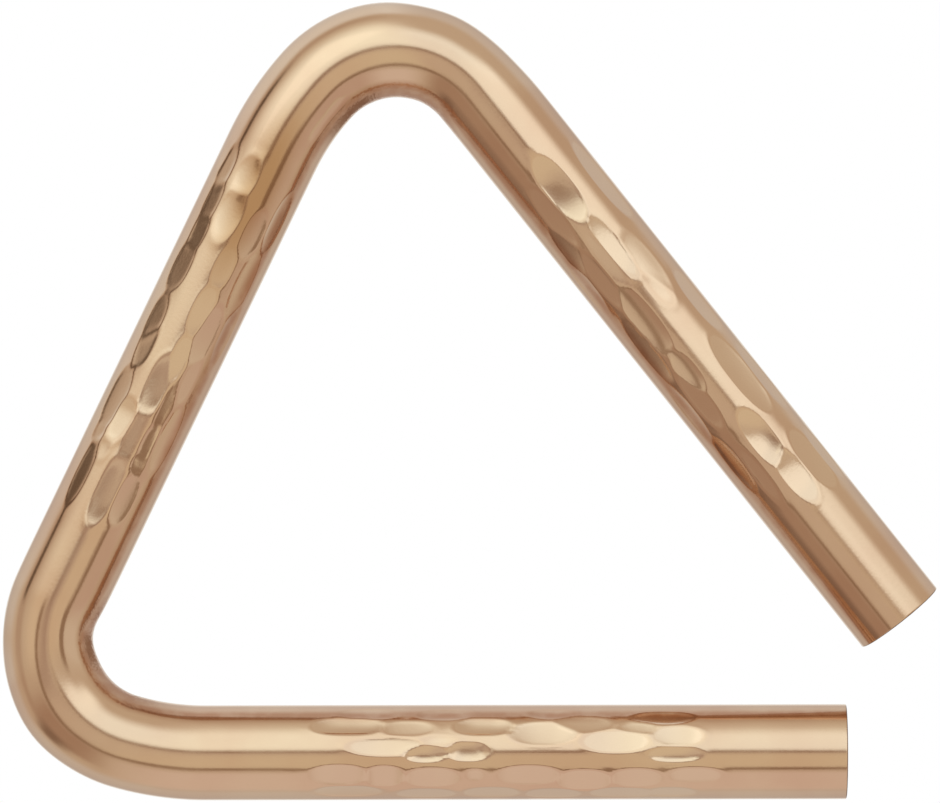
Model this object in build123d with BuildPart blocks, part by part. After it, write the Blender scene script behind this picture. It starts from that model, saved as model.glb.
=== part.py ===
from build123d import *
import os
from math import radians, sin, sqrt, tan

os.makedirs("parts", exist_ok=True)

# Triangle instrument: one round bronze bar, bent twice and left open at its third corner.
# It stands upright in the XZ plane and is seen from -Y. The base bar runs level along X, with
# the open corner at +X. The origin is on the inside of the top bend, where the instrument hangs.
# Lengths are in millimetres and angles in degrees.

# Driving dimensions of the bar
bar_diameter = 11.1      # round bar stock
left_side = 104.3        # closed side, between the points where the centre lines cross
corner_angle = 64.2      # inside angle of both bent corners
base_cutback = 18.7      # how far the base bar stops short of the open corner
right_cutback = 20.0     # how far the right-hand bar stops short of the open corner
bend_radius = 12.3       # tight part of each bend, at the centre line
lead_radius = 34.1       # easy curve that leads into each bend
lead_turn = 16.3         # how far the easy curve turns
end_round = 0.15         # broken edge on both cut ends

# Driving dimensions of the hammer, whose face is flat in the middle and slopes away to both ends
flat_share = 0.4         # part of a mark's length that is flat
face_reach = 1.25        # how far the sloping face goes on past the end of the mark, as a ratio

# Hammer marks on the side seen from -Y. Each row is one blow: its place along the bar from the
# middle of the straight run, going from the right-hand bar over the top and round to the base,
# its turn round the bar from the -Y side towards the outside of the triangle, and the length and
# width of the mark that it leaves.
right_blows = [
    (22.2, 57, 12.0, 3.0), (4.2, 57, 9.6, 2.9), (-7.3, 63, 11.0, 2.4), (-18.8, 64, 8.6, 2.3),
    (13.2, -57, 7.6, 2.2), (-5.6, -54, 8.8, 2.2), (3.2, -42, 9.4, 2.3), (-5.0, -27, 9.0, 2.4),
    (22.3, -29, 9.4, 2.4), (13.0, -31, 9.0, 2.3), (18.0, -41, 6.8, 2.2), (14.5, -10, 9.4, 1.7),
    (24.5, 0, 9.6, 3.5), (15.2, 8, 9.2, 2.3), (8.4, 21, 5.8, 2.3), (11.5, 29, 9.4, 2.9),
    (6.2, -19, 10.4, 3.0), (-1.6, -17, 6.4, 2.5), (-5.6, 35, 12.0, 3.2), (-16.2, -27, 9.0, 1.8),
    (-18.6, 8, 8.2, 3.0), (-13.0, 4, 8.6, 3.2), (-18.6, 40, 9.0, 3.1), (-13.5, -46, 8.6, 2.2),
]
left_blows = [
    (-24.6, 45, 6.4, 2.2), (-20.3, 42, 6.6, 2.4), (-26.2, 60, 3.6, 1.1), (-16.4, 40, 6.2, 2.5),
    (-12.2, 42, 7.0, 2.9), (-5.0, 42, 7.2, 2.5), (-2.0, 38, 6.4, 2.5), (5.0, 45, 8.4, 3.0),
    (9.6, 46, 3.2, 2.0), (14.6, 41, 8.8, 2.2), (10.7, 27, 2.8, 1.4), (-14.0, -10, 5.8, 2.3),
    (-2.2, -9, 6.8, 2.2), (-8.4, -9, 6.8, 2.5), (8.0, 1, 8.4, 2.0), (1.8, 2, 8.2, 2.8),
    (15.2, 1, 9.4, 2.7), (3.4, -19, 5.4, 1.7), (-0.5, -33, 7.4, 1.9), (8.4, -20, 6.2, 2.0),
    (10.8, -19, 3.4, 1.9), (15.2, -24, 7.2, 2.6), (-19.0, -25, 6.6, 2.5), (-6.0, -27, 8.0, 2.7),
    (7.0, -40, 9.0, 2.3), (-13.2, -43, 8.8, 2.7), (-21.5, -51, 8.2, 2.4), (-7.1, -55, 8.4, 2.1),
    (-23.7, 15, 5.6, 2.9), (-18.8, 13, 6.6, 3.1), (7.6, 24, 5.6, 2.4),
]
base_blows = [
    (16.9, 57, 6.6, 2.3), (11.1, 58, 8.4, 2.5), (3.1, 60, 7.4, 2.5), (-4.1, 57, 7.4, 2.5),
    (-11.7, 59, 7.8, 2.4), (-20.8, 54, 8.8, 2.5), (3.0, -56, 6.0, 2.0), (-9.5, -55, 7.0, 2.2),
    (-18.5, -57, 7.5, 2.2), (16.0, -48, 8.0, 2.3), (19.7, 28, 7.0, 2.2), (12.8, 32, 6.6, 2.7),
    (6.7, 35, 7.0, 3.0), (0.3, 28, 8.0, 2.8), (-6.0, 27, 2.6, 1.8), (-11.0, 31, 7.0, 2.8),
    (-16.6, 29, 5.0, 3.0), (-21.9, 27, 7.4, 2.9), (13.0, -32, 5.0, 1.8), (-5.0, -35, 7.2, 2.4),
    (6.6, -38, 7.4, 2.4), (2.0, -26, 8.4, 3.1), (10.4, -15, 8.2, 2.7), (17.7, -22, 6.2, 2.6),
    (17.3, 1, 6.8, 1.9), (-13.9, -33, 6.8, 2.2), (-20.9, -36, 8.8, 2.5), (-16.3, -9, 9.6, 2.3),
    (-10.1, -16, 4.2, 1.3), (-11.8, 0, 5.4, 2.1), (-6.8, -3, 5.2, 2.4),
]

# Sizes that follow from the driving dimensions
bar_radius = bar_diameter / 2
full_turn = 180 - corner_angle
bend_turn = full_turn - lead_turn
open_angle = 180 - 2 * corner_angle
long_side = left_side * sin(radians(corner_angle)) / sin(radians(open_angle))

# How far from its corner each bend begins, on its easy side and on its tight side
lead_tangent = lead_radius * tan(radians(lead_turn / 2))
bend_tangent = bend_radius * tan(radians(bend_turn / 2))
shared_tangent = (lead_tangent + bend_tangent) / sin(radians(full_turn))
lead_setback = lead_tangent + shared_tangent * sin(radians(bend_turn))
bend_setback = bend_tangent + shared_tangent * sin(radians(lead_turn))

# The straight runs that are left between the bends and the cut ends
right_length = long_side - right_cutback - bend_setback
left_length = left_side - bend_setback - lead_setback
base_length = long_side - base_cutback - lead_setback

# With the base level, the tight part of the top bend turns this far on each side of the origin
top_turn_right = 2 * full_turn - 180
top_turn_left = bend_turn - top_turn_right

# The bar's centre line: straight runs and tangent arcs, from the free end of the right-hand bar
# over the top bend to the free end of the base
with BuildLine(Plane.XZ) as centre_line:
    top_right = JernArc((0, bar_radius), (1, 0), bend_radius, -top_turn_right)
    right_end = top_right @ 1 + right_length * (top_right % 1)
    right_run = Line(right_end, top_right @ 1)
    top_left = JernArc((0, bar_radius), (-1, 0), bend_radius, top_turn_left)
    top_lead = JernArc(top_left @ 1, top_left % 1, lead_radius, lead_turn)
    left_run = Line(top_lead @ 1, top_lead @ 1 + left_length * (top_lead % 1))
    corner_bend = JernArc(left_run @ 1, left_run % 1, bend_radius, bend_turn)
    corner_lead = JernArc(corner_bend @ 1, corner_bend % 1, lead_radius, lead_turn)
    base_run = Line(corner_lead @ 1, corner_lead @ 1 + base_length * (corner_lead % 1))
bar_path = centre_line.wire()

# The hammer's face at every blow, sunk until its flat leaves a mark of the right width. The far
# side of each run has the same blows as the near side, turned end for end.
with BuildPart() as hammer:
    for run, near_blows in ((right_run, right_blows), (left_run, left_blows), (base_run, base_blows)):
        run_direction = run % 0.5
        run_plane = Plane(run @ 0.5, x_dir=run_direction, z_dir=run_direction.cross(Vector(0, -1, 0)))
        far_blows = [(-along, 180 - around, length, width) for along, around, length, width in near_blows]
        for along, around, length, width in near_blows + far_blows:
            flat_height = sqrt(bar_radius**2 - (width / 2) ** 2)
            depth = bar_radius - flat_height
            top_height = flat_height + depth * (face_reach - flat_share) / (1 - flat_share)
            half_flat = flat_share * length / 2
            half_face = face_reach * length / 2
            blow = Location((along, 0, 0), (around, 0, 0)) * Location((0, 0, -bar_radius))
            with BuildSketch(Plane(run_plane.location * blow)):
                Polygon(
                    (-half_flat, flat_height),
                    (half_flat, flat_height),
                    (half_face, top_height),
                    (-half_face, top_height),
                    align=None,
                )
    hammer_faces = extrude(amount=bar_diameter, mode=Mode.PRIVATE)

# The bar itself: a circle swept along the centre line, with both cut ends broken and the straight
# runs hammered
with BuildPart() as triangle_bar:
    with BuildSketch(Plane(origin=bar_path @ 0, z_dir=bar_path % 0)):
        Circle(bar_radius)
    sweep(path=bar_path)
    fillet(faces().filter_by(GeomType.PLANE).edges(), end_round)
    add(hammer_faces, mode=Mode.SUBTRACT)

triangle_bar.part.label = "triangle_bar"
export_step(triangle_bar.part, "parts/triangle_bar.step")

print("bar length", bar_path.length)
print("volume", triangle_bar.part.volume)
print(triangle_bar.part.bounding_box())
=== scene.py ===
from math import cos, exp, pi, radians, sin, sqrt, tan

import bpy
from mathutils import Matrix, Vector


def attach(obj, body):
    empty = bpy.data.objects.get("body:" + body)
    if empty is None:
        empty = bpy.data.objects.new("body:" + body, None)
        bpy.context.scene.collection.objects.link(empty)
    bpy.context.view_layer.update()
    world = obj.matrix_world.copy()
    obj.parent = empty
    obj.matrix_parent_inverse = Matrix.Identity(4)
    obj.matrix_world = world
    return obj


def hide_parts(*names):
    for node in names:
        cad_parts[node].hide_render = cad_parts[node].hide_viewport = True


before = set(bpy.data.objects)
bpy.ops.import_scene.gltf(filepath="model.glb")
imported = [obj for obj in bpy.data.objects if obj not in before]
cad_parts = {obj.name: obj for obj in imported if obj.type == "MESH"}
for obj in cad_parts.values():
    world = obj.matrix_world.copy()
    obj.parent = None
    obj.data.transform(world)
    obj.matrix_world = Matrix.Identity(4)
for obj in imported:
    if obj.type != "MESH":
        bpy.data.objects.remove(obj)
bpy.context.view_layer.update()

MM = 0.001
TO_VIEWER = (0.0, -1.0, 0.0)

# The bar's driving dimensions, as in the part's source, in metres and degrees
BAR_RADIUS = 11.1 * MM / 2
LEFT_SIDE = 104.3 * MM
CORNER_ANGLE = 64.2
BASE_CUTBACK = 18.7 * MM
RIGHT_CUTBACK = 20.0 * MM
BEND_RADIUS = 12.3 * MM
LEAD_RADIUS = 34.1 * MM
LEAD_TURN = 16.3
END_ROUND = 0.15 * MM

# Hammer marks on the near side, placed and sized as in the part's source: place along the straight run
# from its middle, turn round the bar from the near side to the outside, length and width, in mm and
# degrees
RIGHT_BLOWS = [
    (22.2, 57, 12.0, 3.0), (4.2, 57, 9.6, 2.9), (-7.3, 63, 11.0, 2.4), (-18.8, 64, 8.6, 2.3),
    (13.2, -57, 7.6, 2.2), (-5.6, -54, 8.8, 2.2), (3.2, -42, 9.4, 2.3), (-5.0, -27, 9.0, 2.4),
    (22.3, -29, 9.4, 2.4), (13.0, -31, 9.0, 2.3), (18.0, -41, 6.8, 2.2), (14.5, -10, 9.4, 1.7),
    (24.5, 0, 9.6, 3.5), (15.2, 8, 9.2, 2.3), (-5.6, 35, 12.0, 3.2), (-16.2, -27, 9.0, 1.8),
    (-18.6, 40, 9.0, 3.1), (-13.5, -46, 8.6, 2.2),
]
LEFT_BLOWS = [
    (-14.0, -10, 5.8, 2.3), (-2.2, -9, 6.8, 2.2), (-8.4, -9, 6.8, 2.5), (5.0, 45, 8.4, 3.0),
    (-0.5, -33, 7.4, 1.9), (8.4, -20, 6.2, 2.0), (15.2, -24, 7.2, 2.6), (-19.0, -25, 6.6, 2.5),
    (-6.0, -27, 8.0, 2.7), (7.0, -40, 9.0, 2.3), (-13.2, -43, 8.8, 2.7), (-21.5, -51, 8.2, 2.4),
    (-7.1, -55, 8.4, 2.1),
]
BASE_BLOWS = [
    (16.9, 57, 6.6, 2.3), (11.1, 58, 8.4, 2.5), (3.1, 60, 7.4, 2.5), (-4.1, 57, 7.4, 2.5),
    (-11.7, 59, 7.8, 2.4), (-20.8, 54, 8.8, 2.5), (3.0, -56, 6.0, 2.0), (-9.5, -55, 7.0, 2.2),
    (-18.5, -57, 7.5, 2.2), (16.0, -48, 8.0, 2.3), (19.7, 28, 7.0, 2.2), (12.8, 32, 6.6, 2.7),
    (6.7, 35, 7.0, 3.0), (0.3, 28, 8.0, 2.8), (-6.0, 27, 2.6, 1.8), (-11.0, 31, 7.0, 2.8),
    (-16.6, 29, 5.0, 3.0), (-21.9, 27, 7.4, 2.9), (13.0, -32, 5.0, 1.8), (6.6, -38, 7.4, 2.4),
    (2.0, -26, 8.4, 3.1), (10.4, -15, 8.2, 2.7), (17.7, -22, 6.2, 2.6), (-13.9, -33, 6.8, 2.2),
    (-16.3, -9, 9.6, 2.3), (-10.1, -16, 4.2, 1.3),
]

# More of the source's marks, which stand out and are struck last, and one on the easy curve below the top
# bend that only the scene has: the section of the bar, then as above, then how far the hammer leaned
# towards the section's start, how far the mark's sides slope up (below 0 the mark is still round), both
# in degrees, and the power by which it rises at its ends
SHAPED_BLOWS = [
    ("left_run", -24.6, 45, 6.4, 2.2, 0, 0, 2.4),
    ("left_run", -26.2, 60, 3.6, 1.1, 0, 0, 2.4),
    ("left_run", -20.3, 42, 6.6, 2.4, 0, 0, 2.4),
    ("left_run", -16.4, 40, 6.2, 2.5, 0, 0, 2.4),
    ("left_run", -12.2, 42, 7.0, 2.9, 0, 0, 2.4),
    ("left_run", -5.0, 42, 7.2, 2.5, 0, 0, 2.4),
    ("left_run", -2.0, 38, 6.4, 2.5, 0, 0, 2.4),
    ("left_run", 9.6, 46, 3.2, 2.0, 0, 0, 2.4),
    ("left_run", 14.6, 41, 8.8, 2.2, 0, 0, 2.4),
    ("left_run", 10.7, 27, 2.8, 1.4, 0, 0, 2.4),
    ("left_run", -23.7, 15, 5.6, 2.9, 1.2, -9, 2.2),
    ("left_run", -18.8, 13, 6.6, 3.1, 1.2, -9, 2.2),
    ("left_run", 3.4, -19, 5.4, 1.7, 0, 0, 3),
    ("left_run", 10.8, -19, 3.4, 1.9, 0, 0, 3),
    ("left_run", 1.8, 2, 8.2, 2.8, 0, -2, 3),
    ("left_run", 15.2, 1, 9.4, 2.7, 0, -3, 3),
    ("left_run", 8.0, 1, 8.4, 2.0, 0, -3, 2.4),
    ("left_run", 7.6, 24, 5.6, 2.4, 2, 0, 4),
    ("top_lead", -1.9, -38, 5.0, 1.3, 0, 4, 3),
    ("right_run", 8.4, 21, 5.8, 2.3, 0, -5, 3),
    ("right_run", 11.5, 29, 9.4, 2.9, 0, -6, 2.4),
    ("right_run", -13.0, 4, 8.6, 3.2, 0, 5, 2.4),
    ("right_run", -18.6, 8, 8.2, 3.0, 0, 2, 2.4),
    ("right_run", 6.2, -19, 10.4, 3.0, 0, 8, 2.4),
    ("right_run", -1.6, -17, 6.4, 2.5, 0, 9, 2.4),
    ("base_run", -5.0, -35, 7.2, 2.4, 0, 13, 3),
    ("base_run", -20.9, -36, 8.8, 2.5, 0, 13, 3),
    ("base_run", -6.8, -3, 5.2, 2.4, 0, 7, 3),
    ("base_run", -11.8, 0, 5.4, 2.1, 0, 12, 2.5),
    ("base_run", 17.3, 1, 6.8, 1.9, 0, 12, 2.5),
]

# The lean, side slope and power of every other mark
COMMON_SHAPE = (0, 2.5, 2.4)

# Where bending drew the bar out of round: the bend, the place along it and the spread as shares of its
# length, and how far its outer side and its inner side moved outwards, in mm
BEND_PUSHES = [
    ("top_bend", 0.11, 0.18, -0.46, -0.05),
    ("top_bend", 0.40, 0.15, -0.30, -0.08),
    ("top_bend", 0.70, 0.30, 0.00, -0.18),
    ("corner_bend", 0.22, 0.19, -0.20, 0.35),
    ("corner_bend", 0.64, 0.15, 0.24, 0.02),
]

# A bend's finish fades out over this share of its length, on both sides of it
BEND_FADE = 0.2

# The right-hand end is cut out of square by this angle, in degrees, and the rings near it lean with it
RIGHT_CUT_LEAN = 3.0
CUT_LEAN_FADE = 6 * MM

# The visible bar's mesh: rings along it and sides round it
RING_SIDES = 180
HAMMERED_STEP = 0.46 * MM
PLAIN_STEP = 1.5 * MM
BEND_STEP = 0.6 * MM
END_FACE_RINGS = 8
END_ROUND_RINGS = 6
END_FACE_STEP = 0.001 * MM

# The hammer's face acts this far out, as a share of half the mark's length
FACE_REACH = 1.4

# The photograph's frame: its middle, the origin's place and the scale on the bar's plane, and the angle
# in degrees by which the object is turned in it
FRAME_WIDTH_PX = 940
FRAME_MIDDLE_PX = (470.0, 401.5)
ORIGIN_PX = (396.6, 95.7)
PHOTO_TURN = 0.11
METRES_PER_PX = 0.11709 * MM
CAMERA_DISTANCE = 1.1
SENSOR_WIDTH_MM = 36.0

# The bronze's colours: the two tones of its faintly stained skin, then where it differs
BRONZE_TONES = ((0.757, 0.553, 0.41, 1.0), (0.808, 0.625, 0.464, 1.0))
STRUCK_COLOUR = (0.868, 0.707, 0.55, 1.0)
# Painted shade: the inner sides, which face into the triangle, are darkened in the colour
INNER_SIDE_SHADE_COLOUR = (0.54, 0.31, 0.20, 1.0)
BROWN_STAIN_COLOUR = (0.55, 0.33, 0.17, 1.0)
END_COLOUR = (0.62, 0.42, 0.28, 1.0)
CUT_EDGE_COLOUR = (0.22, 0.14, 0.10, 1.0)
GRAZING_TINT = (0.80, 0.78, 0.80, 1.0)

# The heights of its fine relief
DRAWN_LINE = 0.0015 * MM
STRUCK_DRAWN_LINE = 0.0006 * MM
FILE_LINE = 0.010 * MM
GRAIN = 0.003 * MM
PUCKER = 0.06 * MM

# How fine its patterns are, in waves per metre, the last two along the bar, to its near side and outwards
STAIN_WAVES = 90.0
MOTTLE_WAVES = 400.0
GRAIN_WAVES = 2600.0
PUCKER_WAVES = 1900.0
DRAWN_WAVES = (120.0, 9000.0, 9000.0)
FILE_WAVES = (0.0, 500.0, 6000.0)

# Its roughness at the two tones of its skin, and how much rougher the end faces are
BRONZE_ROUGHNESS = (0.09, 0.15)
END_ROUGHNESS = 0.12

# How deep a point is struck before it has the whole finish of a mark, and how far that finish and the
# brown stain cover the skin
STRUCK_DEPTH = 0.06 * MM
STRUCK_COVER = 0.5
BROWN_STAIN_COVER = 0.8

# The floor, in metres, with how brightly it glows to the camera, its two tones and the waves per metre
# of their pattern, and the lamp, in metres and watts
FLOOR_HEIGHT = -0.20
FLOOR_RADIUS = 1.2
FLOOR_SIDES = 96
FLOOR_LIFT = 0.3
FLOOR_TONES = ((0.80, 0.79, 0.77, 1.0), (0.84, 0.83, 0.82, 1.0))
FLOOR_WAVES = 12.0
LAMP_PLACE = (-0.42, -0.90, 0.62)
LAMP_SIZE = 0.6
LAMP_WATTS = 0.10

# What the metal reflects: a plain room, and in it surfaces that are painted in this order. Each has its
# colour, its centre (how far to the right of the camera's direction and above it), its sector round
# that centre (its middle, counted from the right over the top, half its width and its soft edge) and
# its reach out from that centre (from, to and soft edge), all in degrees. A reach that begins below 0 or
# ends above 180 has no edge there.
ROOM_COLOUR = (0.60, 0.50, 0.39)
GAP_COLOUR = (0.32, 0.22, 0.15)
DARK_COLOUR = (0.14, 0.095, 0.065)
STUDIO_SURFACES = [
    ((0.71, 0.61, 0.46), (0, 0), (305, 60, 12), (4, 36, 4)),
    ((0.64, 0.54, 0.43), (0, 0), (228, 24, 10), (4, 30, 6)),
    ((0.47, 0.36, 0.29), (0, 0), (182, 24, 8), (4, 30, 4)),
    ((0.43, 0.30, 0.22), (0, 0), (225, 19, 9), (40, 84, 8)),
    ((0.27, 0.18, 0.13), (0, 0), (223, 8, 6), (72, 96, 8)),
    ((0.60, 0.47, 0.39), (0, 0), (308, 30, 12), (44, 78, 5)),
    ((0.66, 0.57, 0.47), (0, 0), (0, 20, 12), (44, 80, 6)),
    ((0.74, 0.64, 0.49), (0, 0), (168, 24, 10), (22, 56, 18)),
    (GAP_COLOUR, (-6, -13), (180, 95, 6), (22, 28.5, 2.5)),
    (GAP_COLOUR, (2, -2), (318, 62, 6), (34.5, 41, 2)),
    (GAP_COLOUR, (0, 0), (352, 22, 8), (32, 42, 2.5)),
    ((0.72, 0.61, 0.46), (0, 0), (157, 8, 5), (15, 44, 6)),
    (GAP_COLOUR, (0, 0), (160, 10, 6), (6, 13, 3)),
    ((0.72, 0.61, 0.54), (0, 0), (270, 16, 10), (48, 104, 6)),
    ((0.50, 0.38, 0.29), (0, 0), (145, 45, 15), (82, 92, 6)),
    ((0.48, 0.36, 0.27), (0, 0), (178, 34, 10), (74, 84, 8)),
    (DARK_COLOUR, (0, 0), (152, 12, 4), (79, 87, 2.5)),
    ((0.66, 0.62, 0.58), (0, 0), (0, 180, 10), (104, 200, 12)),
    ((0.80, 0.79, 0.77), (0, 0), (120, 36, 8), (97, 200, 8)),
    ((0.36, 0.27, 0.21), (0, 0), (308, 17, 6), (112, 165, 7)),
    ((0.40, 0.31, 0.24), (0, 0), (8, 16, 6), (112, 165, 7)),
    ((1.08, 1.10, 1.03), (0, 0), (0, 180, 10), (154, 200, 5)),
    ((1.02, 1.05, 1.00), (0, 0), (64, 30, 6), (2, 52, 13)),
    ((1.12, 1.13, 1.05), (0, 0), (42, 8, 8), (2, 61, 13)),
    ((1.10, 1.12, 1.05), (0, 0), (38, 12, 5), (2, 34, 12)),
    ((1.12, 1.16, 1.05), (0, 0), (121, 33, 11), (2, 64, 20)),
    ((0.36, 0.26, 0.19), (0, 0), (85, 69, 4), (-9, 7, 4)),
]


def bent_bar_sections():
    """The centre line's sections, from the right-hand end to the base end, as (length, radius or None)."""
    full_turn = 180 - CORNER_ANGLE
    bend_turn = full_turn - LEAD_TURN
    long_side = LEFT_SIDE * sin(radians(CORNER_ANGLE)) / sin(radians(2 * CORNER_ANGLE))
    lead_tangent = LEAD_RADIUS * tan(radians(LEAD_TURN / 2))
    bend_tangent = BEND_RADIUS * tan(radians(bend_turn / 2))
    shared_tangent = (lead_tangent + bend_tangent) / sin(radians(full_turn))
    lead_setback = lead_tangent + shared_tangent * sin(radians(bend_turn))
    bend_setback = bend_tangent + shared_tangent * sin(radians(LEAD_TURN))
    bend = (BEND_RADIUS * radians(bend_turn), BEND_RADIUS)
    lead = (LEAD_RADIUS * radians(LEAD_TURN), LEAD_RADIUS)
    return {
        "right_run": (long_side - RIGHT_CUTBACK - bend_setback, None),
        "top_bend": bend,
        "top_lead": lead,
        "left_run": (LEFT_SIDE - bend_setback - lead_setback, None),
        "corner_bend": bend,
        "corner_lead": lead,
        "base_run": (long_side - BASE_CUTBACK - lead_setback, None),
    }


SECTIONS = bent_bar_sections()
SECTION_STARTS = {}
BAR_LENGTH = 0.0
for section_name, (section_length, _) in SECTIONS.items():
    SECTION_STARTS[section_name] = BAR_LENGTH
    BAR_LENGTH += section_length


# A brown stain on the near side at the top of the left bar, in the straightened bar's own coordinates
BROWN_STAIN_PLACE = (SECTION_STARTS["left_run"] + 5 * MM, 0.99 * BAR_RADIUS, -0.10 * BAR_RADIUS)
BROWN_STAIN_SIZE = (16 * MM, 3.4 * MM, 3.4 * MM)


def walk(start, heading, length, radius):
    """Where a straight or a left-turning arc of this length leads, in the XZ plane, and its new heading."""
    x, z = start
    if radius is None:
        return (x + length * cos(heading), z + length * sin(heading)), heading
    turned = heading + length / radius
    x += radius * (sin(turned) - sin(heading))
    z -= radius * (cos(turned) - cos(heading))
    return (x, z), turned


def bar_start():
    """The right-hand end of the centre line, placed so that the top bend's inside is the origin."""
    heading = radians(2 * CORNER_ANGLE)
    length = SECTIONS["right_run"][0]
    top, turned = walk((0.0, 0.0), heading, length, None)
    top, turned = walk(top, turned, BEND_RADIUS * (pi - heading), BEND_RADIUS)
    return (-top[0], BAR_RADIUS - top[1]), heading


def place_on_bar(along):
    """Centre-line point (x, z) and heading at this distance from the right-hand end."""
    point, heading = bar_start()
    left = along
    for length, radius in SECTIONS.values():
        step = min(left, length)
        point, heading = walk(point, heading, step, radius)
        left -= step
        if left <= 0:
            break
    return point, heading


def straight_blows():
    """Every blow, near side and far side: along the bar, turn round it, length, width, lean, cup, power."""
    near_blows = {"right_run": RIGHT_BLOWS, "left_run": LEFT_BLOWS, "base_run": BASE_BLOWS}
    rows = [(run, *blow, *COMMON_SHAPE) for run, blows in near_blows.items() for blow in blows]
    rows += SHAPED_BLOWS
    blows = []
    # The far side has the near side's blows, turned end for end
    for end, turn in ((1, 0), (-1, 180)):
        for run, along, around, length, width, lean, cup, power in rows:
            middle = SECTION_STARTS[run] + SECTIONS[run][0] / 2
            place = middle + end * along * MM
            angle = radians(turn + end * around)
            blows.append((place, angle, length * MM, width * MM, radians(end * lean), radians(cup), power))
    return blows


def even_steps(start, end, step):
    """Evenly spaced distances from start up to, but not including, end."""
    count = max(1, round((end - start) / step))
    return [start + (end - start) * i / count for i in range(count)]


def ring_stations(blows):
    """Every ring of the bar's skin as (distance along the bar, share of the full radius)."""
    edge = BAR_RADIUS - END_ROUND
    rings = []
    for i in range(END_FACE_RINGS):
        rings.append((i * END_FACE_STEP, edge * (i + 1) / END_FACE_RINGS / BAR_RADIUS))
    for i in range(1, END_ROUND_RINGS + 1):
        turn = pi / 2 * i / END_ROUND_RINGS
        rings.append((END_ROUND * (1 - cos(turn)) + END_FACE_RINGS * END_FACE_STEP,
                      (edge + END_ROUND * sin(turn)) / BAR_RADIUS))
    rings.append((rings[-1][0] + END_ROUND / 2, 1.0))
    first = rings[-1][0]
    body = []
    for name, (length, radius) in SECTIONS.items():
        start = SECTION_STARTS[name]
        end = start + length
        if radius is not None:
            body += even_steps(start, end, BEND_STEP)
            continue
        struck = [(along - size / 2, along + size / 2) for along, _, size, *_ in blows if start < along < end]
        low = min(reach[0] for reach in struck)
        high = max(reach[1] for reach in struck)
        body += even_steps(start, low, PLAIN_STEP)
        body += even_steps(low, high, HAMMERED_STEP)
        body += even_steps(high, end, PLAIN_STEP)
    body = [along for along in body if first < along < BAR_LENGTH - first]
    other_end = [(BAR_LENGTH - along, share) for along, share in reversed(rings)]
    return rings + [(along, 1.0) for along in body] + other_end


def bend_pushes(along):
    """How far bending moved the bar's outer side and its inner side outwards, at this distance along."""
    outer = 0.0
    inner = 0.0
    for bend, place, spread, outer_most, inner_most in BEND_PUSHES:
        share = (along - SECTION_STARTS[bend]) / SECTIONS[bend][0]
        fade = exp(-((share - place) / spread) ** 2)
        outer += outer_most * MM * fade
        inner += inner_most * MM * fade
    return outer, inner


def bend_share(along):
    """1 inside a tight bend, fading to 0 past both its ends."""
    fade = 0.0
    for bend in ("top_bend", "corner_bend"):
        share = (along - SECTION_STARTS[bend]) / SECTIONS[bend][0]
        fade = max(fade, min(1.0, 1 + share / BEND_FADE, 1 + (1 - share) / BEND_FADE))
    return fade


def cut_lean(along):
    """Slope of the rings by the right-hand end, whose cut leans out of square towards the near side."""
    return tan(radians(RIGHT_CUT_LEAN)) * max(0.0, 1 - along / CUT_LEAN_FADE)


def points_object(name, points, attributes, edges=()):
    """A mesh of loose points or a polyline, with its named values, to feed the node tree."""
    mesh = bpy.data.meshes.new(name)
    mesh.from_pydata(points, edges, [])
    for key, (kind, values) in attributes.items():
        layer = mesh.attributes.new(key, kind, "POINT")
        field = "vector" if kind == "FLOAT_VECTOR" else "value"
        for item, value in zip(layer.data, values):
            setattr(item, field, value)
    made = bpy.data.objects.new(name, mesh)
    bpy.context.collection.objects.link(made)
    return made


class Tree:
    """A short way to add nodes, sums and links to a node tree."""

    def __init__(self, tree):
        self.tree = tree

    def node(self, kind, inputs=None, **settings):
        made = self.tree.nodes.new(kind)
        for key, value in settings.items():
            setattr(made, key, value)
        for key, value in (inputs or {}).items():
            self.feed(made.inputs[key], value)
        return made

    def feed(self, socket, value):
        if isinstance(value, bpy.types.NodeSocket):
            self.tree.links.new(value, socket)
        else:
            socket.default_value = value

    def math(self, operation, *values):
        made = self.node("ShaderNodeMath", operation=operation)
        for socket, value in zip(made.inputs, values):
            self.feed(socket, value)
        return made.outputs["Value"]

    def vector(self, operation, *values, scale=None):
        made = self.node("ShaderNodeVectorMath", operation=operation)
        for socket, value in zip(made.inputs, values):
            self.feed(socket, value)
        if scale is not None:
            self.feed(made.inputs["Scale"], scale)
        return made.outputs["Value" if operation in ("DOT_PRODUCT", "LENGTH") else "Vector"]

    def join(self, x, y, z):
        return self.node("ShaderNodeCombineXYZ", {"X": x, "Y": y, "Z": z}).outputs["Vector"]

    def noise(self, vector, scale, detail):
        inputs = {"Vector": vector, "Scale": scale, "Detail": detail}
        return self.node("ShaderNodeTexNoise", inputs).outputs["Fac"]

    def ramp(self, value, low, high, start=0.0, end=1.0):
        """From start where the value is low to end where it is high, smoothly."""
        inputs = {"Value": value, "From Min": low, "From Max": high, "To Min": start, "To Max": end}
        return self.node("ShaderNodeMapRange", inputs, interpolation_type="SMOOTHSTEP").outputs["Result"]

    def mix_colour(self, factor, first, second):
        """The first colour where the factor is 0, the second where it is 1."""
        made = self.node("ShaderNodeMix", data_type="RGBA")
        sockets = {socket.identifier: socket for socket in made.inputs}
        self.feed(sockets["Factor_Float"], factor)
        self.feed(sockets["A_Color"], first)
        self.feed(sockets["B_Color"], second)
        return next(socket for socket in made.outputs if socket.identifier == "Result_Color")


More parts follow.
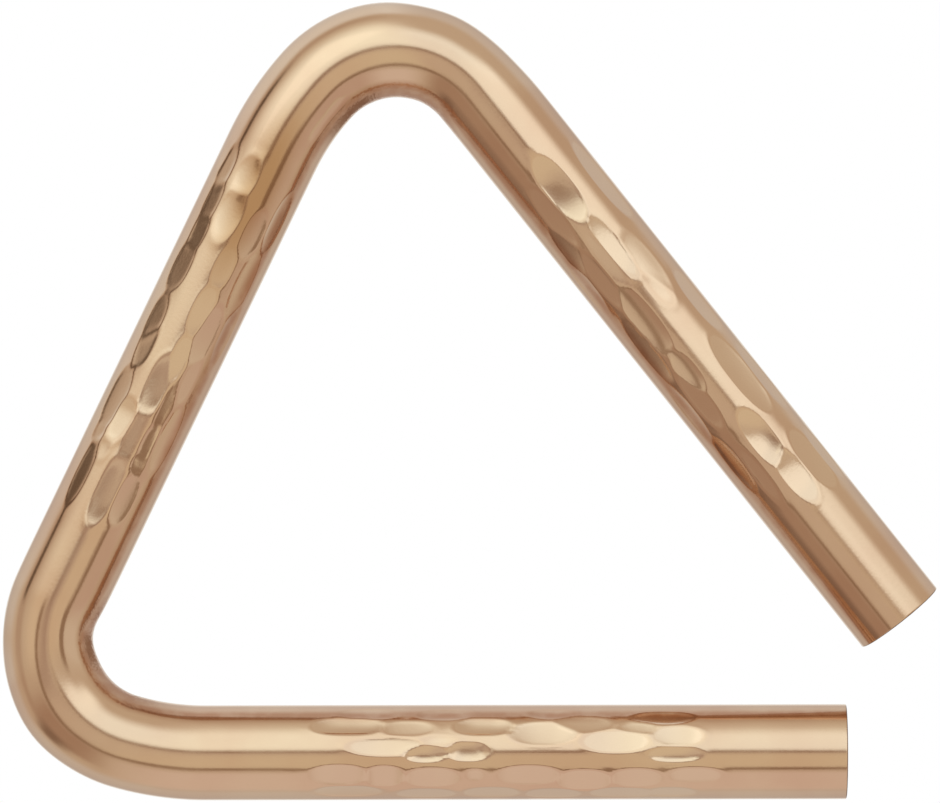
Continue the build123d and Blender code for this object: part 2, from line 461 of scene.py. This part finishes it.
def hammered_bar_tree():
    """Geometry Nodes: a round bar along a path, drawn in at its bends, with hammer marks struck into it."""
    tree = bpy.data.node_groups.new("Hammered bar", "GeometryNodeTree")
    inputs = {
        "Path": "NodeSocketGeometry",
        "Blows": "NodeSocketObject",
        "Bar radius": "NodeSocketFloat",
        "Ring sides": "NodeSocketInt",
        "Ridge softness": "NodeSocketFloat",
        "Lip height": "NodeSocketFloat",
        "Lip width": "NodeSocketFloat",
        "Deepest mark": "NodeSocketFloat",
        "Waviness": "NodeSocketFloat",
        "Wave length": "NodeSocketFloat",
        "Wave width": "NodeSocketFloat",
        "Material": "NodeSocketMaterial",
    }
    for name, kind in inputs.items():
        tree.interface.new_socket(name, in_out="INPUT", socket_type=kind)
    tree.interface.new_socket("Bar", in_out="OUTPUT", socket_type="NodeSocketGeometry")
    t = Tree(tree)
    given = t.node("NodeGroupInput").outputs

    def named(name, kind="FLOAT"):
        return t.node("GeometryNodeInputNamedAttribute", {"Name": name}, data_type=kind).outputs["Attribute"]

    def store(geometry, name, kind, value):
        made = t.node("GeometryNodeStoreNamedAttribute", {"Geometry": geometry, "Name": name},
                      data_type=kind, domain="POINT")
        t.feed(made.inputs["Value"], value)
        return made.outputs["Geometry"]

    # The path carries its own points and its outward direction on to the skin
    path = t.node("GeometryNodeMeshToCurve", {"Mesh": given["Path"]}).outputs["Curve"]
    position = t.node("GeometryNodeInputPosition").outputs["Position"]
    tangent = t.node("GeometryNodeInputTangent").outputs["Tangent"]
    path = store(path, "axis_point", "FLOAT_VECTOR", position)
    path = store(path, "outward", "FLOAT_VECTOR", t.vector("CROSS_PRODUCT", tangent, TO_VIEWER))
    circle = t.node("GeometryNodeCurvePrimitiveCircle",
                    {"Resolution": given["Ring sides"], "Radius": given["Bar radius"]}).outputs["Curve"]
    skin = t.node("GeometryNodeCurveToMesh", {"Curve": path, "Profile Curve": circle,
                  "Scale": named("ring_share"), "Fill Caps": True}).outputs["Mesh"]

    # The straightened bar's own coordinates: along it, towards the near side, towards the outside
    radial = t.vector("SUBTRACT", position, named("axis_point", "FLOAT_VECTOR"))
    outward = named("outward", "FLOAT_VECTOR")
    to_near = t.vector("DOT_PRODUCT", radial, TO_VIEWER)
    to_outside = t.vector("DOT_PRODUCT", radial, outward)
    skin = store(skin, "bar_space", "FLOAT_VECTOR", t.join(named("along"), to_near, to_outside))

    # The bends are drawn out of round in their own plane, and the whole skin is a little wavy
    side = t.math("DIVIDE", to_outside, given["Bar radius"])
    outer = t.math("MULTIPLY", named("outer_push"), t.math("MAXIMUM", side, 0.0))
    inner = t.math("MULTIPLY", named("inner_push"), t.math("MAXIMUM", t.math("MULTIPLY", side, -1.0), 0.0))
    drawn = t.vector("SCALE", outward, scale=t.math("ADD", outer, inner))
    wave_size = t.join(given["Wave length"], given["Wave width"], given["Wave width"])
    waves = t.noise(t.vector("DIVIDE", named("bar_space", "FLOAT_VECTOR"), wave_size), 1.0, 1.0)
    wave = t.math("MULTIPLY", t.math("SUBTRACT", waves, 0.5), given["Waviness"])
    wave = t.math("MULTIPLY", wave, named("ring_share"))
    wavy = t.vector("SCALE", t.vector("NORMALIZE", radial), scale=wave)
    skewed = t.vector("SCALE", t.vector("CROSS_PRODUCT", outward, TO_VIEWER),
                      scale=t.math("MULTIPLY", to_near, named("cut_lean")))
    offset = t.vector("ADD", t.vector("ADD", drawn, wavy), skewed)
    skin = t.node("GeometryNodeSetPosition", {"Geometry": skin, "Offset": offset}).outputs["Geometry"]

    # One blow in each turn of the loop: what stands inside the hammer's face is pushed down to it. The
    # face is cupped across the bar, and along it rises, ever faster, towards the ends of the mark.
    blows = t.node("GeometryNodeObjectInfo", {"Object": given["Blows"]}).outputs["Geometry"]
    size = t.node("GeometryNodeAttributeDomainSize", {"Geometry": blows}, component="MESH")
    loop_in = t.node("GeometryNodeRepeatInput")
    loop_out = t.node("GeometryNodeRepeatOutput")
    loop_in.pair_with_output(loop_out)
    t.feed(loop_in.inputs["Iterations"], size.outputs["Point Count"])
    t.feed(loop_in.inputs["Geometry"], skin)

    def of_blow(value, kind="FLOAT"):
        made = t.node("GeometryNodeSampleIndex", {"Geometry": blows, "Index": loop_in.outputs["Iteration"]},
                      data_type=kind, domain="POINT")
        t.feed(made.inputs["Value"], value)
        return made.outputs["Value"]

    strike = of_blow(named("strike", "FLOAT_VECTOR"), "FLOAT_VECTOR")
    sideways = of_blow(named("sideways", "FLOAT_VECTOR"), "FLOAT_VECTOR")
    forward = t.vector("CROSS_PRODUCT", strike, sideways)
    from_face = t.vector("SUBTRACT", position, of_blow(position, "FLOAT_VECTOR"))
    height = t.vector("DOT_PRODUCT", from_face, strike)
    across = t.vector("DOT_PRODUCT", from_face, sideways)
    endways = t.math("ABSOLUTE", t.vector("DOT_PRODUCT", from_face, forward))
    endways = t.math("DIVIDE", endways, of_blow(named("half_length")))
    end_rise = t.math("MULTIPLY", of_blow(named("depth")), t.math("POWER", endways, of_blow(named("power"))))
    side_rise = t.math("MULTIPLY", of_blow(named("cup")), t.math("MULTIPLY", across, across))
    sunk = t.math("SUBTRACT", height, t.math("ADD", end_rise, side_rise))
    soft = given["Ridge softness"]
    rounded = t.math("SQRT", t.math("ADD", t.math("MULTIPLY", sunk, sunk), t.math("MULTIPLY", soft, soft)))
    push = t.math("MULTIPLY", t.math("ADD", sunk, rounded), -0.5)
    edge = t.math("DIVIDE", sunk, given["Lip width"])
    lip = t.math("EXPONENT", t.math("MULTIPLY", t.math("MULTIPLY", edge, edge), -1.0))
    push = t.math("ADD", push, t.math("MULTIPLY", given["Lip height"], lip))
    close = t.math("LESS_THAN", endways, FACE_REACH)
    near_by = t.math("LESS_THAN", t.math("ABSOLUTE", across), given["Bar radius"])
    shallow = t.math("LESS_THAN", t.math("ABSOLUTE", sunk), given["Deepest mark"])
    struck = t.node("GeometryNodeSetPosition", {"Geometry": loop_in.outputs["Geometry"],
                    "Selection": t.math("MULTIPLY", t.math("MULTIPLY", close, near_by), shallow),
                    "Offset": t.vector("SCALE", strike, scale=push)})
    t.feed(loop_out.inputs["Geometry"], struck.outputs["Geometry"])

    # How deep each point was struck, for the finish
    full = t.math("MULTIPLY", given["Bar radius"], named("ring_share"))
    dent = t.math("SUBTRACT", full, t.vector("LENGTH", radial))
    skin = store(loop_out.outputs["Geometry"], "dent", "FLOAT", dent)
    skin = t.node("GeometryNodeSetShadeSmooth", {"Geometry": skin}).outputs["Geometry"]
    skin = t.node("GeometryNodeRealizeInstances", {"Geometry": skin}).outputs["Geometry"]
    skin = t.node("GeometryNodeSetMaterial", {"Geometry": skin, "Material": given["Material"]})
    t.node("NodeGroupOutput", {"Bar": skin.outputs["Geometry"]})
    return tree


def hammered_bar(material):
    """The whole instrument: the bent bar's skin with its hammer marks, as one plain mesh."""
    blows = straight_blows()
    stations = ring_stations(blows)
    places = [place_on_bar(along)[0] for along, _ in stations]
    path = points_object(
        "bar_path",
        [(x, 0.0, z) for x, z in places],
        {
            "along": ("FLOAT", [along for along, _ in stations]),
            "ring_share": ("FLOAT", [share for _, share in stations]),
            "outer_push": ("FLOAT", [bend_pushes(along)[0] for along, _ in stations]),
            "inner_push": ("FLOAT", [bend_pushes(along)[1] for along, _ in stations]),
            "bend": ("FLOAT", [bend_share(along) for along, _ in stations]),
            "cut_lean": ("FLOAT", [cut_lean(along) for along, _ in stations]),
        },
        [(i, i + 1) for i in range(len(stations) - 1)],
    )

    faces = []
    strikes = []
    sideways = []
    depths = []
    cups = []
    for along, around, length, width, lean, cup, power in blows:
        (x, z), heading = place_on_bar(along)
        centre = Vector((x, 0.0, z))
        forward = Vector((cos(heading), 0.0, sin(heading)))
        outward = Vector((sin(heading), 0.0, -cos(heading)))
        across = sin(around) * outward + cos(around) * Vector(TO_VIEWER)
        face_height = sqrt(BAR_RADIUS**2 - (width / 2) ** 2) - tan(cup) * width / 4
        strike = cos(lean) * across - sin(lean) * forward
        faces.append(centre + across * face_height)
        strikes.append(strike)
        sideways.append(forward.cross(strike).normalized())
        depths.append(BAR_RADIUS - face_height)
        cups.append(tan(cup) / width)
    hammer = points_object(
        "hammer_faces",
        faces,
        {
            "strike": ("FLOAT_VECTOR", strikes),
            "sideways": ("FLOAT_VECTOR", sideways),
            "depth": ("FLOAT", depths),
            "cup": ("FLOAT", cups),
            "half_length": ("FLOAT", [blow[2] / 2 for blow in blows]),
            "power": ("FLOAT", [blow[6] for blow in blows]),
        },
    )

    tree = hammered_bar_tree()
    modifier = path.modifiers.new("hammered_bar", "NODES")
    modifier.node_group = tree
    values = {
        "Blows": hammer,
        "Bar radius": BAR_RADIUS,
        "Ring sides": RING_SIDES,
        "Ridge softness": 0.01 * MM,
        "Lip height": 0.028 * MM,
        "Lip width": 0.05 * MM,
        "Deepest mark": 1.0 * MM,
        "Waviness": 0.03 * MM,
        "Wave length": 25.0 * MM,
        "Wave width": 3.5 * MM,
        "Material": material,
    }
    for item in tree.interface.items_tree:
        if item.name in values:
            modifier[item.identifier] = values[item.name]
    graph = bpy.context.evaluated_depsgraph_get()
    mesh = bpy.data.meshes.new_from_object(path.evaluated_get(graph))
    mesh.name = "hammered_bar"
    piece = bpy.data.objects.new("hammered_bar", mesh)
    bpy.context.collection.objects.link(piece)
    for helper in (path, hammer):
        bpy.data.objects.remove(helper)
    return piece


def satin_bronze():
    """Bare bronze: drawn lines along the bar, a fine grain, stains, painted shade on the inner sides and dark
    cut edges.
    """
    material = bpy.data.materials.new("satin_bronze")
    material.use_nodes = True
    material.node_tree.nodes.clear()
    t = Tree(material.node_tree)
    bar_space = t.node("ShaderNodeAttribute", attribute_name="bar_space").outputs["Vector"]
    bend = t.node("ShaderNodeAttribute", attribute_name="bend").outputs["Fac"]
    dent = t.node("ShaderNodeAttribute", attribute_name="dent").outputs["Fac"]

    # Where the finish differs: the end faces, the inner side, which takes painted shade that fades at its rim
    # between the bends, the hammer marks, the edges of both cuts and the brown stain
    parts = t.node("ShaderNodeSeparateXYZ", {"Vector": bar_space}).outputs
    from_axis = t.vector("LENGTH", t.join(0.0, parts["Y"], parts["Z"]))
    on_end = t.ramp(from_axis, 0.985 * BAR_RADIUS, 0.97 * BAR_RADIUS)
    inner_side_shade = t.ramp(parts["Z"], -0.62 * BAR_RADIUS, -0.80 * BAR_RADIUS)
    to_rim = t.ramp(parts["Z"], -0.82 * BAR_RADIUS, -0.92 * BAR_RADIUS, 1.0, 0.2)
    inner_side_shade = t.math("MULTIPLY", inner_side_shade, t.math("MAXIMUM", to_rim, t.math("MULTIPLY", bend, 0.9)))
    struck = t.ramp(dent, 0.0, STRUCK_DEPTH)
    on_cut_edge = t.math("MULTIPLY", t.ramp(from_axis, 0.9995 * BAR_RADIUS, 0.994 * BAR_RADIUS),
                         t.ramp(from_axis, 0.96 * BAR_RADIUS, 0.98 * BAR_RADIUS))
    from_stain = t.vector("DIVIDE", t.vector("SUBTRACT", bar_space, BROWN_STAIN_PLACE), BROWN_STAIN_SIZE)
    in_stain = t.ramp(t.vector("LENGTH", from_stain), 0.2, 1.0, BROWN_STAIN_COVER, 0.0)

    # Stains of a few millimetres, painted shade on the inner sides, which face into the triangle, a brown
    # stain at the top of the left bar, and the edges of both cuts
    stain = t.noise(bar_space, STAIN_WAVES, 4.0)
    colour = t.mix_colour(t.ramp(stain, 0.3, 0.7), *BRONZE_TONES)
    colour = t.mix_colour(t.math("MULTIPLY", struck, STRUCK_COVER), colour, STRUCK_COLOUR)
    mottle = t.ramp(t.noise(bar_space, MOTTLE_WAVES, 3.0), 0.3, 0.6, 0.7, 1.0)
    colour = t.mix_colour(t.math("MULTIPLY", inner_side_shade, mottle), colour, INNER_SIDE_SHADE_COLOUR)
    colour = t.mix_colour(in_stain, colour, BROWN_STAIN_COLOUR)
    colour = t.mix_colour(on_end, colour, END_COLOUR)
    colour = t.mix_colour(on_cut_edge, colour, CUT_EDGE_COLOUR)
    roughness = t.ramp(stain, 0.3, 0.7, *BRONZE_ROUGHNESS)
    roughness = t.math("ADD", roughness, t.math("MULTIPLY", on_end, END_ROUGHNESS))

    # Lines of the drawing die along the bar, which the blows have flattened, file lines across the ends,
    # a fine grain everywhere, and the puckered skin on the inside of the bends
    drawn = t.noise(t.vector("MULTIPLY", bar_space, DRAWN_WAVES), 1.0, 2.0)
    drawn = t.math("MULTIPLY", drawn, t.ramp(struck, 0.0, 1.0, DRAWN_LINE, STRUCK_DRAWN_LINE))
    filed = t.noise(t.vector("MULTIPLY", bar_space, FILE_WAVES), 1.0, 2.0)
    filed = t.math("MULTIPLY", filed, t.math("MULTIPLY", on_end, FILE_LINE))
    grain = t.math("MULTIPLY", t.noise(bar_space, GRAIN_WAVES, 3.0), GRAIN)
    puckered = t.math("MULTIPLY", bend, t.ramp(parts["Z"], -0.6 * BAR_RADIUS, -0.95 * BAR_RADIUS))
    pucker = t.math("MULTIPLY", t.noise(bar_space, PUCKER_WAVES, 2.0), PUCKER)
    puckered = t.math("MULTIPLY", puckered, pucker)
    height = t.math("ADD", t.math("ADD", drawn, filed), t.math("ADD", grain, puckered))
    bump = t.node("ShaderNodeBump", {"Height": height, "Strength": 1.0, "Distance": 1.0})

    bronze = t.node("ShaderNodeBsdfPrincipled", {
        "Base Color": colour,
        "Metallic": 1.0,
        "Roughness": roughness,
        "Specular Tint": GRAZING_TINT,
        "Normal": bump.outputs["Normal"],
    })
    t.node("ShaderNodeOutputMaterial", {"Surface": bronze.outputs["BSDF"]})
    return material


def pale_floor():
    """A round pale floor well below the hanging triangle. It takes its shadow, but metal doesn't show it."""
    material = bpy.data.materials.new("pale_floor")
    material.use_nodes = True
    material.node_tree.nodes.clear()
    t = Tree(material.node_tree)
    place = t.node("ShaderNodeTexCoord").outputs["Object"]
    colour = t.mix_colour(t.noise(place, FLOOR_WAVES, 4.0), *FLOOR_TONES)
    seen = t.node("ShaderNodeLightPath").outputs["Is Camera Ray"]
    paint = t.node("ShaderNodeBsdfPrincipled", {
        "Base Color": colour,
        "Roughness": 0.8,
        "Emission Color": (1.0, 1.0, 1.0, 1.0),
        "Emission Strength": t.math("MULTIPLY", seen, FLOOR_LIFT),
    })
    t.node("ShaderNodeOutputMaterial", {"Surface": paint.outputs["BSDF"]})

    mesh = bpy.data.meshes.new("floor")
    turns = [2 * pi * i / FLOOR_SIDES for i in range(FLOOR_SIDES)]
    rim = [(FLOOR_RADIUS * cos(turn), FLOOR_RADIUS * sin(turn), FLOOR_HEIGHT) for turn in turns]
    mesh.from_pydata(rim, [], [list(range(FLOOR_SIDES))])
    mesh.materials.append(material)
    floor = bpy.data.objects.new("floor", mesh)
    floor.visible_glossy = False
    bpy.context.collection.objects.link(floor)


def soft_lamp():
    """The studio's one lamp, in the direction where the bright surfaces are brightest."""
    data = bpy.data.lights.new("soft_lamp", "AREA")
    data.size = LAMP_SIZE
    data.energy = LAMP_WATTS
    lamp = bpy.data.objects.new("soft_lamp", data)
    lamp.location = LAMP_PLACE
    lamp.rotation_euler = (-Vector(LAMP_PLACE)).to_track_quat("-Z", "Y").to_euler()
    bpy.context.collection.objects.link(lamp)


def studio_world():
    """Plain white to the camera. Reflections see the studio's surfaces, painted one over the other."""
    world = bpy.data.worlds.new("studio")
    world.use_nodes = True
    bpy.context.scene.world = world
    tree = world.node_tree
    tree.nodes.clear()
    t = Tree(tree)
    direction = t.node("ShaderNodeTexCoord").outputs["Generated"]

    def inside(value, low, high, soft):
        """1 between low and high, with soft edges, and 0 elsewhere."""
        rise = t.ramp(value, low - soft, low + soft)
        fall = t.ramp(value, high - soft, high + soft, 1.0, 0.0)
        return t.math("MULTIPLY", rise, fall)

    def degrees_from(vector, axis):
        """Angle between a direction and a fixed axis."""
        return t.math("DEGREES", t.math("ARCCOSINE", t.vector("DOT_PRODUCT", vector, axis)))

    colour = (*ROOM_COLOUR, 1.0)
    for surface, (right, up), (middle, half, sector_soft), (low, high, reach_soft) in STUDIO_SURFACES:
        right = sin(radians(right))
        up = sin(radians(up))
        centre = (right, -sqrt(1 - right * right - up * up), up)
        heading = (cos(radians(middle)), 0.0, sin(radians(middle)))
        flat = t.vector("MULTIPLY", t.vector("SUBTRACT", direction, centre), (1.0, 0.0, 1.0))
        from_middle = degrees_from(t.vector("NORMALIZE", flat), heading)
        in_sector = t.ramp(from_middle, half - sector_soft, half + sector_soft, 1.0, 0.0)
        in_reach = inside(degrees_from(direction, centre), low, high, reach_soft)
        colour = t.mix_colour(t.math("MULTIPLY", in_sector, in_reach), colour, (*surface, 1.0))

    studio = t.node("ShaderNodeBackground", {"Color": colour, "Strength": 1.0})
    plain = t.node("ShaderNodeBackground", {"Color": (1.0, 1.0, 1.0, 1.0), "Strength": 1.0})
    seen = t.node("ShaderNodeLightPath").outputs["Is Camera Ray"]
    mixed = t.node("ShaderNodeMixShader", {0: seen, 1: studio.outputs[0], 2: plain.outputs[0]})
    t.node("ShaderNodeOutputWorld", {"Surface": mixed.outputs[0]})


def photo_camera():
    """Straight on to the bar's plane, at the photograph's framing."""
    data = bpy.data.cameras.new("photo_camera")
    data.sensor_width = SENSOR_WIDTH_MM
    data.lens = SENSOR_WIDTH_MM * CAMERA_DISTANCE / (FRAME_WIDTH_PX * METRES_PER_PX)
    camera = bpy.data.objects.new("photo_camera", data)
    camera.location = (
        (FRAME_MIDDLE_PX[0] - ORIGIN_PX[0]) * METRES_PER_PX,
        -CAMERA_DISTANCE,
        (ORIGIN_PX[1] - FRAME_MIDDLE_PX[1]) * METRES_PER_PX,
    )
    camera.rotation_euler = (pi / 2, radians(PHOTO_TURN), 0.0)
    bpy.context.collection.objects.link(camera)
    bpy.context.scene.camera = camera


bpy.context.scene.view_settings.view_transform = "Standard"
studio_world()
soft_lamp()
pale_floor()
photo_camera()

bar = hammered_bar(satin_bronze())
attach(bar, "root")
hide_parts("triangle_bar")
